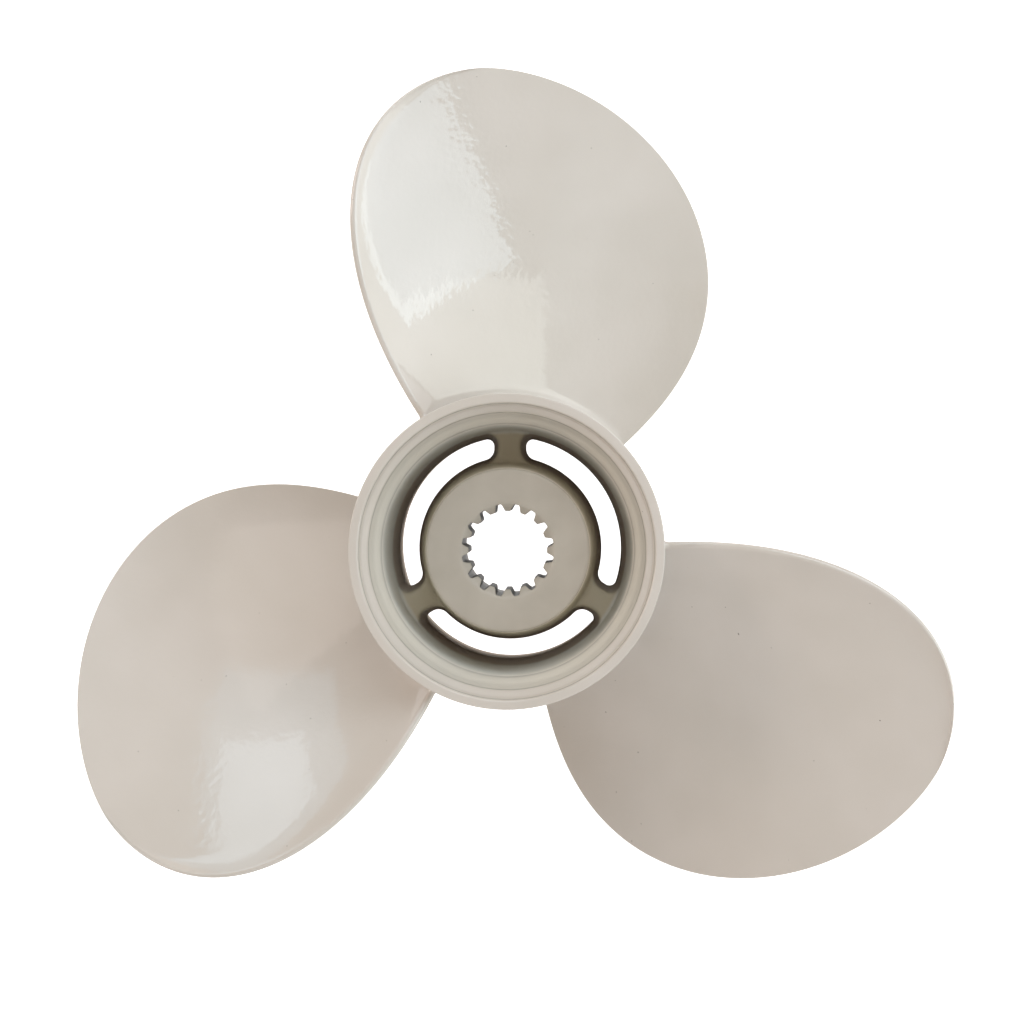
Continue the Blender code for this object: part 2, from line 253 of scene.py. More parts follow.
def section(column, radius, grow=0.0):
    """Angle and depth of a blade's outline at a column and a radius, moved out by grow."""
    chord, through, past_trail, past_lead = column_place(column)
    share = blade_share(radius)
    middle = ROOT_MID + TIP_SKEW * share ** SKEW_POWER
    half = ROOT_HALF * np.clip(1 - share ** CHORD_POWER, 0, 1) ** CHORD_ROUNDING
    slope = np.arctan2(PITCH, math.tau * radius)

    # thicknesses, which go to nothing round the tip
    half_chord = np.radians(half) * radius
    edge_round = np.minimum(1, EDGE_ROUNDING * half_chord / TRAILING_EDGE)
    past = np.clip((radius - PROPELLER_RADIUS + TIP_ROUND) / TIP_ROUND, 0, 1)
    thin = edge_round * np.sqrt(np.clip(1 - past ** 2, 0, 1))
    lead, trail = LEADING_EDGE * thin, TRAILING_EDGE * thin
    thickest = ROOT_THICKNESS + (TIP_THICKNESS - ROOT_THICKNESS) * share ** THICKNESS_TAPER
    thickest = np.maximum(thickest * thin, np.maximum(lead, trail))
    edge = lead + (trail - lead) * chord
    fullness = np.clip(4 * chord * (1 - chord), 0, 1) ** SECTION_FULLNESS
    thickness = edge + (thickest - edge) * fullness

    # along the helix, forward of its face, and past its ends
    start = -half_chord + lead / 2 * (1 - np.sin(slope))
    end = np.maximum(half_chord - trail / 2 * (1 + np.sin(slope)), start)
    across = start + (end - start) * chord
    cup = CUP * thin * np.clip((chord - 1 + CUP_CHORD) / CUP_CHORD, 0, 1) ** 2
    offset = through * (thickness + 2 * grow) - grow
    bulge = (trail / 2 + grow) * past_trail - (lead / 2 + grow) * past_lead

    angle = middle + np.degrees((across + offset * np.sin(slope) + bulge * np.cos(slope)) / radius)
    on_helix = middle + np.degrees(across / radius)
    depth = ROOT_DEPTH + PITCH / 360 * (ROOT_MID + ROOT_HALF - on_helix)
    depth = depth - RAKE * (radius - BARREL_RADIUS)
    return angle, depth - cup + offset * np.cos(slope) - bulge * np.sin(slope)


def root_helix(depth):
    """Angle of the middle of a blade's root at a depth."""
    return ROOT_MID + ROOT_HALF - (depth - ROOT_DEPTH) * 360 / PITCH + ROOT_LEAD


def blade_border():
    """The barrel patch round a blade: a parallelogram in angle and depth, column by column."""
    t_side, t_arc = np.arange(CHORD) / CHORD, np.arange(ARC) / ARC
    sides = [
        (-60.0 + 0 * t_side, FRONT_ROUND + (RIM_ROUND - FRONT_ROUND) * t_side),
        (-60.0 + 120 * t_arc, RIM_ROUND + 0 * t_arc),
        (60.0 + 0 * t_side, RIM_ROUND + (FRONT_ROUND - RIM_ROUND) * t_side),
        (60.0 - 120 * t_arc, FRONT_ROUND + 0 * t_arc),
    ]
    lean = np.concatenate([s[0] for s in sides])
    depth = np.concatenate([s[1] for s in sides])
    return root_helix(depth) + lean, depth


def root_fillet(column):
    """The fillet at each column of a blade's root, small round the edges."""
    on_face = column < CHORD
    on_back = (column >= CHORD + ARC) & (column < 2 * CHORD + ARC)
    face_near = np.minimum(column, np.abs(column - CHORD))
    back_near = np.minimum(np.abs(column - CHORD - ARC), np.abs(column - 2 * CHORD - ARC))
    full = smooth(np.where(on_face, face_near, back_near) / FILLET_BLEND)
    return EDGE_FILLET + (ROOT_FILLET - EDGE_FILLET) * np.where(on_face | on_back, full, 0.0)


def add_blade(shell, turn):
    """A third of the barrel's outside, with a blade that grows out of it."""
    column = np.arange(2 * (CHORD + ARC)).astype(float)
    fillet = root_fillet(column)
    rows = []

    # from the barrel's border to the foot of the fillet, in rows that draw together
    border = np.array(blade_border())
    foot = np.array(section(column, BARREL_RADIUS, fillet))
    for t in 1 - (1 - np.arange(PATCH_ROWS) / PATCH_ROWS) ** PATCH_POWER:
        angle, depth = border + (foot - border) * t
        rows.append(place(angle + turn, barrel_outside(depth), depth))

    # up the fillet
    for a in math.pi / 2 * np.arange(FILLET_ROWS) / FILLET_ROWS:
        radius = BARREL_RADIUS + fillet * (1 - math.cos(a))
        angle, depth = section(column, radius, fillet * (1 - math.sin(a)))
        flared = radius + barrel_outside(depth) - BARREL_RADIUS
        rows.append(place(angle + turn, flared, depth))

    # and out to the tip, in rows that draw together there
    start = BARREL_RADIUS + fillet
    steps = -np.cos(math.pi * np.linspace(FIRST_STEP, 1, SPAN))
    for step in (steps - steps[0]) / (1 - steps[0]):
        radius = start + (PROPELLER_RADIUS - start) * step
        angle, depth = section(column, radius)
        rows.append(place(angle + turn, radius, depth))
    shell.grid(rows, closed=True)


# ---------------------------------------------------------------- passages between the ribs
def passage_outline(depth, shrink=0.0):
    """One passage's outline at a depth: a ring slot with round corners, about angle 0.

    Returned as angle and radius, a column at a time: the outer side from the low to the high
    end, that end inwards, the inner side back, and the low end outwards.
    """
    outer = along(WALL, depth) - PASSAGE_LEDGE - shrink
    inner = along(HUB, depth) + PASSAGE_LEDGE + shrink
    half_rib = along(RIB_WIDTH, depth) / 2 + shrink
    ro, ri = CORNER_OUTER * (outer - inner), CORNER_INNER * (outer - inner)

    # the corners, in coordinates along and across the rib that the passage's high end meets
    outer_x, outer_y = math.sqrt((outer - ro) ** 2 - (half_rib + ro) ** 2), half_rib + ro
    inner_x, inner_y = math.sqrt((inner + ri) ** 2 - (half_rib + ri) ** 2), half_rib + ri
    lean_outer = math.atan2(outer_y, outer_x)
    lean_inner = math.atan2(inner_y, inner_x)
    corner = []
    for a in np.linspace(lean_outer, -math.pi / 2, CORNER_STEPS):
        corner.append((outer_x + ro * math.cos(a), outer_y + ro * math.sin(a)))
    for a in np.linspace(-math.pi / 2, -math.pi + lean_inner, CORNER_STEPS):
        corner.append((inner_x + ri * math.cos(a), inner_y + ri * math.sin(a)))
    corner = [(60 - math.degrees(math.atan2(y, x)), math.hypot(x, y)) for x, y in corner]

    # the middles of the corners split the outline into its four sides
    outer_mid, inner_mid = CORNER_STEPS // 2, CORNER_STEPS + CORNER_STEPS // 2
    high = corner[outer_mid:inner_mid + 1]
    outer_half = [(a, outer) for a in np.linspace(0, corner[0][0], SIDE_STEPS)[:-1]]
    outer_half += corner[:outer_mid + 1]
    inner_half = corner[inner_mid:]
    inner_half += [(a, inner) for a in np.linspace(corner[-1][0], 0, SIDE_STEPS)[1:]]
    outer_side = [(-a, r) for a, r in outer_half[::-1]] + outer_half[1:]
    inner_side = inner_half + [(-a, r) for a, r in inner_half[::-1][1:]]
    low = [(-a, r) for a, r in high[::-1]]
    sides = ((outer_side, ARC), (high, SIDE), (inner_side, ARC), (low, SIDE))
    return np.concatenate([spread(points, count)[:-1] for points, count in sides])


def spread(points, count):
    """Points spaced evenly by length, and closer together where the line turns."""
    polar = np.array(points)
    flat = np.stack([polar[:, 1] * np.cos(np.radians(polar[:, 0])),
                     polar[:, 1] * np.sin(np.radians(polar[:, 0]))], -1)
    step = np.diff(flat, axis=0)
    length = np.hypot(step[:, 0], step[:, 1])
    heading = np.unwrap(np.arctan2(step[:, 1], step[:, 0]))
    bend = np.abs(np.diff(heading, prepend=heading[0]))
    bend = (bend + np.append(bend[1:], bend[-1])) / 2
    travel = np.concatenate([[0], np.cumsum(length + BEND_WEIGHT * bend)])
    at = np.linspace(0, travel[-1], count + 1)
    return np.stack([np.interp(at, travel, polar[:, i]) for i in (0, 1)], -1)


def sector_border(depth):
    """The ring between hub and barrel, a third at a time about angle 0, column by column."""
    outer, inner = along(WALL, depth), along(HUB, depth)
    arc, side = np.arange(ARC) / ARC, np.arange(SIDE) / SIDE
    return np.concatenate([
        np.stack([-60 + 120 * arc, outer + 0 * arc], -1),
        np.stack([60 + 0 * side, outer + (inner - outer) * side], -1),
        np.stack([60 - 120 * arc, inner + 0 * arc], -1),
        np.stack([-60 + 0 * side, inner + (outer - inner) * side], -1),
    ])


def quarter(x, radius):
    """Height of a round fillet of a radius, at x from its foot."""
    x = np.clip(x / radius, 0, 1)
    return radius * (1 - np.sqrt(np.clip(1 - (1 - x) ** 2, 0, 1)))


def rib_end(depth, sign):
    """Rows of points over the ribs' ends, from the walls in to the passage's edge.

    sign is 1 for the aft ends, which the passage leaves forwards, and -1 for the front ends.
    """
    border, edge = sector_border(depth), passage_outline(depth + sign * RIB_LIP)
    outer, inner = along(WALL, depth), along(HUB, depth)
    rows = []
    for t in smooth(np.linspace(0, 1, RIB_ROWS)):
        ring = border + (edge - border) * t
        to_edge = (1 - t) * np.hypot(border[:, 1] - edge[:, 1],
                                     np.radians(border[:, 0] - edge[:, 0]) * ring[:, 1])
        rise = quarter(outer - ring[:, 1], RIB_FILLET) + quarter(ring[:, 1] - inner, RIB_FILLET)
        drop = quarter(to_edge, RIB_LIP)
        rows.append(np.stack([ring[:, 0], ring[:, 1], depth + sign * (drop - rise)], -1))
    return np.array(rows)


def add_passage(shell, turn):
    """A passage with the rib ends round it. Returns its two borders, about angle 0."""
    aft, front = rib_end(RIB_AFT, 1), rib_end(RIB_FRONT, -1)
    first, last = RIB_AFT + RIB_LIP, RIB_FRONT - RIB_LIP
    before = np.linspace(first, WAIST - FLASH_HALF, TUBE_ROWS + 1)[1:]
    after = np.linspace(WAIST + FLASH_HALF, last, TUBE_ROWS + 1)[:-1]
    tube = [aft[-1]]
    for depth in (*before, WAIST, *after):
        ring = passage_outline(depth, FLASH if depth == WAIST else 0.0)
        tube.append(np.concatenate([ring, np.full((len(ring), 1), depth)], axis=1))
    tube.append(front[-1])
    for rows in (aft, np.array(tube), front[::-1]):
        shell.grid(place(rows[..., 0] + turn, rows[..., 1], rows[..., 2]), closed=True)
    return aft[0], front[0]


# ---------------------------------------------------------------- turned surfaces
def circle(offset):
    """Angles of a whole circle's columns."""
    return offset + np.arange(3 * ARC) * 120 / ARC


def add_turned(shell, profile, start_offset, end_offset):
    """A turned surface whose columns drift from one angle to another."""
    count = len(profile)
    rows = []
    for i, (depth, radius) in enumerate(profile):
        drift = start_offset + (end_offset - start_offset) * i / (count - 1)
        rows.append(place(circle(drift), radius, depth))
    shell.grid(rows, closed=True)
    return rows


def snap(offset, base):
    """The offset nearest to base that puts the same columns in the same places."""
    step = 120 / ARC
    return offset - round((offset - base) / step) * step


def wall_ring(border, part):
    """The three sectors' border on one wall, as a whole circle's columns."""
    angle = np.concatenate([border[part, 0] + turn for turn in PASSAGE_ANGLES])
    rows = np.concatenate([border[part]] * 3)
    order = np.argsort(np.mod(angle - 90 + 1e-6, 360))
    return place(angle[order], rows[order, 1], rows[order, 2])


def sorted_insert(profile, extra):
    """Adds points to a profile's last straight stretch, in order of depth."""
    tail = [p for p in profile if p[0] >= MOUTH_DEPTH + 2]
    head = [p for p in profile if p[0] < MOUTH_DEPTH + 2]
    return head + sorted(tail + [np.array(p) for p in extra], key=lambda p: p[0])


def add_mouth(shell, ribs_ring):
    """The aft rim, the stepped bell mouth and the wall up to the ribs."""
    mouth = RIM_RADIUS - RIM_WIDTH
    step_end = MOUTH_STEP_DEPTH + MOUTH_STEP
    belly_depth = step_end + MOUTH_BELLY[0] * (MOUTH_DEPTH - step_end)
    belly_drop = mouth - MOUTH_STEP - WALL[0][1]
    wall_end = RIB_AFT - RIB_FILLET - AFT_RUN
    rim = [
        (RIM_ROUND, barrel_outside(RIM_ROUND)),
        (0.0, RIM_RADIUS),
        (0.0, mouth + 0.4),
        (RIM_LIP, mouth),
        (MOUTH_STEP_DEPTH, mouth - 0.1),
        (step_end, mouth - MOUTH_STEP),
        (step_end + 2, mouth - MOUTH_STEP - 0.15),
        (belly_depth, mouth - MOUTH_STEP - MOUTH_BELLY[1] * belly_drop),
        (MOUTH_DEPTH, WALL[0][1]),
        (wall_end, along(WALL, wall_end)),
    ]
    on_wall = [(d, along(WALL, d)) for d in np.linspace(MOUTH_DEPTH + 4, wall_end, 8)[:-1]]
    profile = sorted_insert(rounded(rim, MOUTH_ROUNDING, 7), on_wall)
    rows = add_turned(shell, profile, snap(root_helix(RIM_ROUND) - 60, 90), 90.0)
    shell.grid([rows[-1], ribs_ring], closed=True)


def add_hub(shell, aft_ring, front_ring):
    """The inner hub, from the ribs round its aft end, collar, bore and front end."""
    aft, front = RIB_AFT - RIB_FILLET - AFT_RUN, RIB_FRONT + RIB_FILLET + HUB_RUN
    loop = [
        (aft, along(HUB, aft)),
        (HUB_AFT, HUB[0][1]),
        (HUB_AFT, COLLAR_BORE),
        (HUB_AFT + COLLAR_LENGTH, COLLAR_BORE),
        (HUB_AFT + COLLAR_LENGTH, HUB_BORE),
        (HUB_FRONT, HUB_BORE),
        (HUB_FRONT, HUB[-1][1]),
        (front, along(HUB, front)),
    ]
    rows = add_turned(shell, rounded(loop, END_ROUNDING), 90.0, 90.0)
    shell.grid([aft_ring, rows[0]], closed=True)
    shell.grid([rows[-1], front_ring], closed=True)


def add_front(shell, ribs_ring):
    """The wall forward of the ribs, and the barrel's front end."""
    start = RIB_FRONT + RIB_FILLET + FRONT_RUN
    profile = [
        (start, along(WALL, start)),
        (LENGTH - 2.0, along(WALL, LENGTH - 2.0)),
        (LENGTH, along(WALL, LENGTH) + FRONT_CHAMFER),
        (LENGTH, BARREL_RADIUS - FRONT_CHAMFER),
        (FRONT_ROUND, BARREL_RADIUS),
    ]
    end = snap(root_helix(FRONT_ROUND) - 60, 90)
    rows = add_turned(shell, rounded(profile, END_ROUNDING), 90.0, end)
    shell.grid([ribs_ring, rows[0]], closed=True)


def make_casting():
    """Barrel, hub, ribs and blades as one closed shell."""
    shell = Shell()
    for turn in (0, 120, 240):
        add_blade(shell, turn)
    for turn in PASSAGE_ANGLES:
        aft_border, front_border = add_passage(shell, turn)
    outer, inner = slice(0, ARC), slice(ARC + SIDE, 2 * ARC + SIDE)
    add_mouth(shell, wall_ring(aft_border, outer))
    rings = [wall_ring(np.roll(border, -1, 0), inner) for border in (aft_border, front_border)]
    add_hub(shell, *rings)
    add_front(shell, wall_ring(front_border, outer))
    return shell.make("casting")


# ---------------------------------------------------------------- sleeve and rubber
TEETH = 16
MINOR_RADIUS, MAJOR_RADIUS = 13.9, 16.4
SPLINE_LENGTH = 42.0
RELIEF_RADIUS = 17.3                         # of the bore forward of the teeth
SHANK_RADIUS = MAJOR_RADIUS + 3.1
TOOTH_HALF, GROOVE_HALF = 3.0, 2.6           # half angles of a tooth's flat tip and of a gap's floor
COUNTERSINK = 2.4                            # height of the cone that the teeth start in
TOOTH_COLUMNS = 24
FLANGE_THICKNESS = 4.0
END_CHAMFER = 0.5
SLEEVE_ROUNDING, RUBBER_ROUNDING = 1.2, 0.9
RUBBER_EDGE, RUBBER_DISH = 1.2, 1.5          # bevel of the rubber's rim, and depth of its dish


def spline(angle, lead_in):
    """Radius of the toothed bore at an angle, one tooth lying at angle 0."""
    pitch = 360 / TEETH
    off = np.abs(np.mod(angle + pitch / 2, pitch) - pitch / 2)
    flank = smooth((off - TOOTH_HALF) / (pitch / 2 - TOOTH_HALF - GROOVE_HALF))
    tooth = MINOR_RADIUS + (MAJOR_RADIUS - MINOR_RADIUS) * flank
    return np.maximum(tooth, MINOR_RADIUS + lead_in)


def make_sleeve():
    """The splined sleeve, with a flange that carries the rubber's aft end."""
    shell = Shell()
    angle = np.arange(TEETH * TOOTH_COLUMNS) * 360 / (TEETH * TOOTH_COLUMNS)
    flange_depth = SLEEVE_DEPTH + FLANGE_THICKNESS
    spline_front = SLEEVE_DEPTH + SPLINE_LENGTH
    outside = [
        (SLEEVE_DEPTH, MAJOR_RADIUS + 1.5),
        (SLEEVE_DEPTH, FLANGE_RADIUS),
        (flange_depth, FLANGE_RADIUS),
        (flange_depth, SHANK_RADIUS),
        (SLEEVE_FRONT, SHANK_RADIUS),
        (SLEEVE_FRONT, RELIEF_RADIUS + END_CHAMFER),
        (SLEEVE_FRONT - END_CHAMFER, RELIEF_RADIUS),
        (spline_front + 2, RELIEF_RADIUS),
        (spline_front + 1, MAJOR_RADIUS),
    ]
    rows = [place(angle, radius, depth) for depth, radius in rounded(outside, SLEEVE_ROUNDING, 6)]
    teeth_depths = np.linspace(spline_front, SLEEVE_DEPTH + COUNTERSINK, 12)
    rows += [place(angle, spline(angle, 0.0), depth) for depth in teeth_depths]
    for t in np.linspace(0, 1, 7)[1:]:
        radius = spline(angle, COUNTERSINK * t)
        rows.append(place(angle, radius, SLEEVE_DEPTH + COUNTERSINK * (1 - t) + 0.25 * t ** 4))
    rows.append(place(angle, MAJOR_RADIUS + 0.3, SLEEVE_DEPTH))
    rows.append(rows[0])
    shell.grid(rows, closed=True)
    return shell.make("sleeve")


def make_rubber():
    """The rubber between sleeve and hub, dished at both ends."""
    shell = Shell()
    inner = SHANK_RADIUS + GAP
    middle_radius = (inner + RUBBER_RADIUS) / 2
    middle_depth = (RUBBER_AFT + RUBBER_FRONT) / 2
    outline = [
        (RUBBER_AFT + 0.6, inner),
        (RUBBER_AFT + RUBBER_DISH, middle_radius),
        (RUBBER_AFT, RUBBER_RADIUS - RUBBER_EDGE),
        (RUBBER_AFT + RUBBER_EDGE, RUBBER_RADIUS),
        (middle_depth, RUBBER_RADIUS),
        (RUBBER_FRONT - RUBBER_EDGE, RUBBER_RADIUS),
        (RUBBER_FRONT, RUBBER_RADIUS - RUBBER_EDGE),
        (RUBBER_FRONT - RUBBER_DISH, middle_radius),
        (RUBBER_FRONT - 0.6, inner),
        (middle_depth, inner),
        (RUBBER_AFT + 0.6, inner),
    ]
    angle = np.arange(180) * 2.0
    profile = rounded(outline, RUBBER_ROUNDING)
    shell.grid([place(angle, radius, depth) for depth, radius in profile], closed=True)
    return shell.make("rubber")


# ---------------------------------------------------------------- materials
def linear(r, g, b):
    """A colour given as 0 to 255 screen values."""
    return tuple(((c / 255 + 0.055) / 1.055) ** 2.4 if c > 10 else c / 255 / 12.92 for c in (r, g, b))


# colours of the paints and metals, and of the painted light and shade inside the casting
ENAMEL, ENAMEL_DULL = linear(214, 206, 197), linear(208, 200, 190)
# painted light: a paler colour for the deep wall, and a warmer, slightly darker one for the hub and
# ribs
PAINTED_LIGHT_WALL, PAINTED_LIGHT_WARM = linear(222, 221, 214), linear(206, 197, 176)
# painted light: the bell mouth is coloured paler than the enamel, as if more brightly lit
PAINTED_LIGHT_MOUTH = linear(247, 241, 230)
# painted shade: a darker colour for the walls down in the passages
PAINTED_PASSAGE_SHADE = linear(196, 184, 170)
SPECK = linear(140, 132, 120)
SLEEVE_DULL, SLEEVE_PALE = linear(177, 169, 156), linear(185, 177, 164)
BORE_METAL = linear(92, 87, 80)
RUBBER_DARK, RUBBER_DUSTY = linear(34, 33, 32), linear(52, 50, 47)

# where one look gives way to the next: the radius or depth where the change starts and ends, in mm
INSIDE_RADII = (50.0, 48.5)                  # from the outside of the casting to its inside
MOUTH_DEPTHS = (6.5, 8.5)                    # from the rim to the bell mouth, coloured paler as painted light
GLOSS_AND_PAINTED_LIGHT_DEPTHS = (20.0, 34.0)                   # to thinner paint with less gloss, and to the painted light on the deep wall and hub
PASSAGE_SHADE_DEPTHS = (50.6, 58.0)                   # to a darker colour down in the passages, a painted shade
PAINTED_LIGHT_RADII = (41.0, 42.6)                    # from the warmer painted light on the hub and ribs to the paler one on the wall
BORE_RADII, BORE_DEPTHS = (18.2, 17.6), (22.4, 23.2)    # to bare metal between the teeth


def new_material(name, rough, coat=0.0):
    """An empty procedural material, with object coordinates ready. Returns it and its tools."""
    material = bpy.data.materials.new(name)
    material.use_nodes = True
    tree = material.node_tree
    shader = tree.nodes["Principled BSDF"]
    shader.inputs["Roughness"].default_value = rough
    shader.inputs["Coat Weight"].default_value = coat
    shader.inputs["Coat Roughness"].default_value = 0.03
    shader.inputs["Coat IOR"].default_value = 1.6
    where = tree.nodes.new("ShaderNodeTexCoord").outputs["Object"]
    return material, tree, shader, where


def noise(tree, where, size, detail=2.0):
    """Noise with features of about a size in mm."""
    node = tree.nodes.new("ShaderNodeTexNoise")
    node.inputs["Scale"].default_value = MM / size
    node.inputs["Detail"].default_value = detail
    tree.links.new(where, node.inputs["Vector"])
    return node.outputs["Fac"]


def ramp(tree, value, stops):
    """Colour or grey from (position, colour) stops."""
    node = tree.nodes.new("ShaderNodeValToRGB")
    elements = node.color_ramp.elements
    for element, (position, colour) in zip((elements[0], elements[1]), (stops[0], stops[-1])):
        element.position, element.color = position, (*colour, 1)
    for position, colour in stops[1:-1]:
        elements.new(position).color = (*colour, 1)
    tree.links.new(value, node.inputs["Fac"])
    return node.outputs["Color"]


def mix(tree, factor, a, b):
    """Colour a, going to b as factor goes to 1."""
    node = tree.nodes.new("ShaderNodeMix")
    node.data_type = "RGBA"
    sockets = {s.identifier: s for s in node.inputs}
    for key, value in (("Factor_Float", factor), ("A_Color", a), ("B_Color", b)):
        if isinstance(value, bpy.types.NodeSocket):
            tree.links.new(value, sockets[key])
        else:
            sockets[key].default_value = (*value, 1) if key != "Factor_Float" else value
    return [s for s in node.outputs if s.identifier == "Result_Color"][0]


def bump(tree, shader, layers):
    """Stacks bumps of (height, strength, distance in mm), and feeds them to the shader."""
    normal = None
    for height, strength, distance in layers:
        node = tree.nodes.new("ShaderNodeBump")
        node.inputs["Strength"].default_value = strength
        node.inputs["Distance"].default_value = distance / MM
        tree.links.new(height, node.inputs["Height"])
        if normal is not None:
            tree.links.new(normal, node.inputs["Normal"])
        normal = node.outputs["Normal"]
    tree.links.new(normal, shader.inputs["Normal"])
    if shader.inputs["Coat Weight"].default_value > 0:
        tree.links.new(normal, shader.inputs["Coat Normal"])


def shaft_place(tree, where):
    """Distance from the shaft's axis, and depth, both in mm, as sockets."""
    flat = tree.nodes.new("ShaderNodeVectorMath")
    flat.operation = "MULTIPLY"
    flat.inputs[1].default_value = (MM, 0, MM)
    tree.links.new(where, flat.inputs[0])
    length = tree.nodes.new("ShaderNodeVectorMath")
    length.operation = "LENGTH"
    tree.links.new(flat.outputs["Vector"], length.inputs[0])
    split = tree.nodes.new("ShaderNodeSeparateXYZ")
    tree.links.new(where, split.inputs["Vector"])
    depth = tree.nodes.new("ShaderNodeMath")
    depth.operation = "MULTIPLY_ADD"
    depth.inputs[1].default_value = MM
    depth.inputs[2].default_value = -AFT
    tree.links.new(split.outputs["Y"], depth.inputs[0])
    return length.outputs["Value"], depth.outputs["Value"]


def fade(tree, value, start, end, low=0.0, high=1.0):
    """A value's smooth passage from low to high between start and end."""
    node = tree.nodes.new("ShaderNodeMapRange")
    node.interpolation_type = "SMOOTHSTEP"
    node.inputs["From Min"].default_value = start
    node.inputs["From Max"].default_value = end
    node.inputs["To Min"].default_value = low
    node.inputs["To Max"].default_value = high
    tree.links.new(value, node.inputs["Value"])
    return node.outputs["Result"]


def times(tree, a, b):
    """The product of two sockets."""
    node = tree.nodes.new("ShaderNodeMath")
    node.operation = "MULTIPLY"
    tree.links.new(a, node.inputs[0])
    tree.links.new(b, node.inputs[1])
    return node.outputs["Value"]


def cast_paint():
    """Warm white enamel with an orange peel; inside the barrel it thins and loses its gloss, painted
    light makes the bell mouth and wall paler and the hub warmer, and painted shade darkens the
    passages.
    """
    material, tree, shader, where = new_material("cast_paint", 0.3, 1.0)
    colour = ramp(tree, noise(tree, where, 45.0), [(0.35, ENAMEL_DULL), (0.65, ENAMEL)])
    speck = ramp(tree, noise(tree, where, 1.1, 0.0), [(0.9, (0, 0, 0)), (0.91, (1, 1, 1))])
    colour = mix(tree, speck, colour, SPECK)
    radius, depth = shaft_place(tree, where)
    inside = fade(tree, radius, *INSIDE_RADII)
    deep = times(tree, inside, fade(tree, depth, *GLOSS_AND_PAINTED_LIGHT_DEPTHS))
    passage_shade = times(tree, inside, fade(tree, depth, *PASSAGE_SHADE_DEPTHS))
    # painted light: the bell mouth is made paler than the enamel round it
    colour = mix(tree, times(tree, inside, fade(tree, depth, *MOUTH_DEPTHS)), colour, PAINTED_LIGHT_MOUTH)
    # painted light: deep down, the wall is made paler and the hub and ribs warmer and slightly
    # darker; only the loss of gloss below comes from thinner paint
    thin = mix(tree, fade(tree, radius, *PAINTED_LIGHT_RADII), PAINTED_LIGHT_WARM, PAINTED_LIGHT_WALL)
    colour = mix(tree, deep, colour, thin)
    # painted shade: the passages are darkened below this depth
    colour = mix(tree, passage_shade, colour, PAINTED_PASSAGE_SHADE)
    tree.links.new(colour, shader.inputs["Base Color"])
    tree.links.new(fade(tree, deep, 0.0, 0.5, 0.3, 0.8), shader.inputs["Roughness"])
    tree.links.new(fade(tree, deep, 0.0, 0.3, 1.0, 0.0), shader.inputs["Coat Weight"])
    tree.links.new(fade(tree, deep, 0.0, 1.0, 0.5, 0.12), shader.inputs["Specular IOR Level"])
    waves, peel = noise(tree, where, 9.0), noise(tree, where, 2.4, 1.0)
    bump(tree, shader, [(waves, 0.5, 0.12), (peel, 1.0, 0.05)])
    return material


def sleeve_paint():
    """The same enamel, thinner and flatter, on the machined sleeve; its bore is unpainted."""
    material, tree, shader, where = new_material("sleeve_paint", 0.5)
    colour = ramp(tree, noise(tree, where, 12.0), [(0.3, SLEEVE_DULL), (0.7, SLEEVE_PALE)])
    radius, depth = shaft_place(tree, where)
    bore = times(tree, fade(tree, radius, *BORE_RADII), fade(tree, depth, *BORE_DEPTHS))
    colour = mix(tree, bore, colour, BORE_METAL)
    tree.links.new(colour, shader.inputs["Base Color"])
    bump(tree, shader, [(noise(tree, where, 2.2), 0.4, 0.04)])
    return material


def dark_rubber():
    """Moulded rubber, dusty in places."""
    material, tree, shader, where = new_material("rubber", 0.75)
    colour = ramp(tree, noise(tree, where, 7.0), [(0.3, RUBBER_DARK), (0.7, RUBBER_DUSTY)])
    tree.links.new(colour, shader.inputs["Base Color"])
    bump(tree, shader, [(noise(tree, where, 1.0), 0.5, 0.06)])
    return material


def finish_piece(obj, material, body, slot, *nodes):
    """Gives a piece its material and its CAD body, and hides the CAD nodes that it stands for; slot
    is not used.
    """
    obj.data.materials.append(material)
    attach(obj, body)
    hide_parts(*nodes)


CAST_NODES = ["barrel", "inner_hub"]
for number in (1, 2, 3):
    CAST_NODES += [f"rib_{number}", f"blade_{number}"]

finish_piece(make_casting(), cast_paint(), "propeller", "cast_paint", *CAST_NODES)
finish_piece(make_sleeve(), sleeve_paint(), "drive_bush", "sleeve_paint", "splined_sleeve")
finish_piece(make_rubber(), dark_rubber(), "drive_bush", "rubber", "rubber_damper")


# ---------------------------------------------------------------- floor, lights and camera, in metres
FLOOR_HEIGHT, FLOOR_START, FLOOR_HALF_WIDTH = -0.6, -12.0, 9.0
SWEEP_START, SWEEP_RADIUS, SWEEP_STEPS = 1.2, 1.2, 12
WALL_TOP = 4.0
CAMERA_PLACE = (0.02501, -1.3196, 0.0255)
CAMERA_AIM = (-0.01777, 0.9998, -0.00904)
CAMERA_LENS = 131.3                          # mm
LIGHT_DISTANCE = 1.5
SKY, COOL, PALE = (0.40, 0.76, 1.0), (0.72, 0.89, 1.0), (0.82, 0.92, 1.0)
NEUTRAL, WARM = (0.93, 1.0, 0.97), (1.0, 0.88, 0.80)


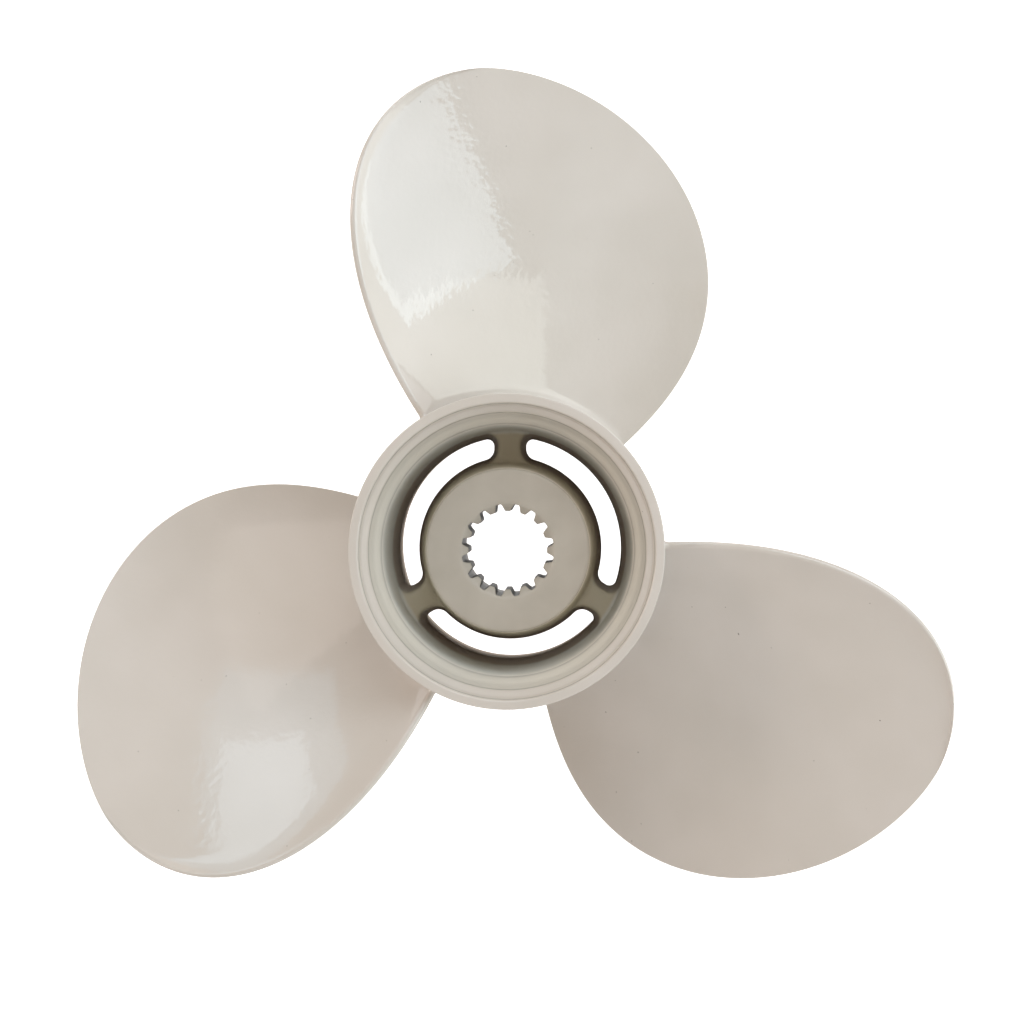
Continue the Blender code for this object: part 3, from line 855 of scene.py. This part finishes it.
def make_backdrop():
    """A pale sweep behind and below the object."""
    profile = [(FLOOR_START, FLOOR_HEIGHT), (SWEEP_START, FLOOR_HEIGHT)]
    for i in range(1, SWEEP_STEPS + 1):
        a = math.radians(90 * i / SWEEP_STEPS)
        y = SWEEP_START + SWEEP_RADIUS * math.sin(a)
        profile.append((y, FLOOR_HEIGHT + SWEEP_RADIUS * (1 - math.cos(a))))
    profile.append((SWEEP_START + SWEEP_RADIUS, WALL_TOP))
    rows = [[(x, y, z) for x in (-FLOOR_HALF_WIDTH, FLOOR_HALF_WIDTH)] for y, z in profile]
    mesh = bpy.data.meshes.new("backdrop")
    verts = [p for row in rows for p in row]
    faces = [(2 * i, 2 * i + 1, 2 * i + 3, 2 * i + 2) for i in range(len(rows) - 1)]
    mesh.from_pydata(verts, [], faces)
    mesh.shade_smooth()
    material = bpy.data.materials.new("backdrop")
    material.use_nodes = True
    tree = material.node_tree
    shader = tree.nodes["Principled BSDF"]
    shader.inputs["Base Color"].default_value = (0.8, 0.8, 0.8, 1)
    shader.inputs["Roughness"].default_value = 0.9
    shader.inputs["Emission Color"].default_value = (1, 1, 1, 1)
    split = tree.nodes.new("ShaderNodeSeparateXYZ")
    tree.links.new(tree.nodes.new("ShaderNodeTexCoord").outputs["Object"], split.inputs["Vector"])
    lit = fade(tree, split.outputs["Y"], 0.5, 2.0, 0.0, 0.8)
    tree.links.new(lit, shader.inputs["Emission Strength"])
    mesh.materials.append(material)
    obj = bpy.data.objects.new("backdrop", mesh)
    bpy.context.scene.collection.objects.link(obj)


def area_light(name, place_at, size, power, colour, roll):
    """A soft light of a size in metres, pointing at the object and rolled by some degrees."""
    lamp = bpy.data.lights.new(name, "AREA")
    lamp.shape = "RECTANGLE"
    lamp.size, lamp.size_y = size
    lamp.energy = power
    lamp.color = colour
    obj = bpy.data.objects.new(name, lamp)
    obj.location = place_at
    turn = (-Vector(place_at)).to_track_quat("-Z", "Y") @ Quaternion((0, 0, 1), math.radians(roll))
    obj.rotation_euler = turn.to_euler()
    bpy.context.scene.collection.objects.link(obj)


def softbox(name, azimuth, elevation, width, height, power, colour, roll=0):
    """A soft light round the object: azimuth 0 is aft of it, and 90 to its right."""
    azimuth, elevation = math.radians(azimuth), math.radians(elevation)
    flat, up = LIGHT_DISTANCE * math.cos(elevation), LIGHT_DISTANCE * math.sin(elevation)
    place_at = (flat * math.sin(azimuth), -flat * math.cos(azimuth), up)
    area_light(name, place_at, (width, height), power, colour, roll)


def make_camera():
    """A long lens almost along the shaft, from aft."""
    lens = bpy.data.cameras.new("camera")
    lens.lens = CAMERA_LENS
    lens.clip_end = 20
    camera = bpy.data.objects.new("camera", lens)
    camera.location = CAMERA_PLACE
    camera.rotation_euler = Vector(CAMERA_AIM).to_track_quat("-Z", "Y").to_euler()
    scene = bpy.context.scene
    scene.collection.objects.link(camera)
    scene.camera = camera
    scene.view_settings.view_transform = "Standard"


def make_world():
    """An even, warm light from all round."""
    world = bpy.data.worlds.new("room")
    world.use_nodes = True
    background = world.node_tree.nodes["Background"]
    background.inputs["Color"].default_value = (1.0, 0.89, 0.80, 1)
    background.inputs["Strength"].default_value = 0.45
    bpy.context.scene.world = world


make_world()
make_backdrop()
make_camera()

# azimuth and elevation in degrees, width, height, power in watts, colour and roll
softbox("right softbox", 61.5, 1, 0.70, 0.80, 3.95, COOL, -16)
softbox("right side fill", 88, -12, 0.85, 2.4, 9.0, NEUTRAL)
softbox("upper softbox", -48.1, 54.5, 0.70, 0.75, 1.3, SKY)
softbox("upper core", -43.1, 48.6, 0.40, 0.44, 0.7, COOL)
softbox("front softbox", 26, 37, 1.5, 0.65, 9.2, PALE)
softbox("left fill", -62, 17, 0.6, 0.6, 5.0, WARM)
softbox("top fill", 0, 85, 1.0, 1.0, 1.7, WARM)
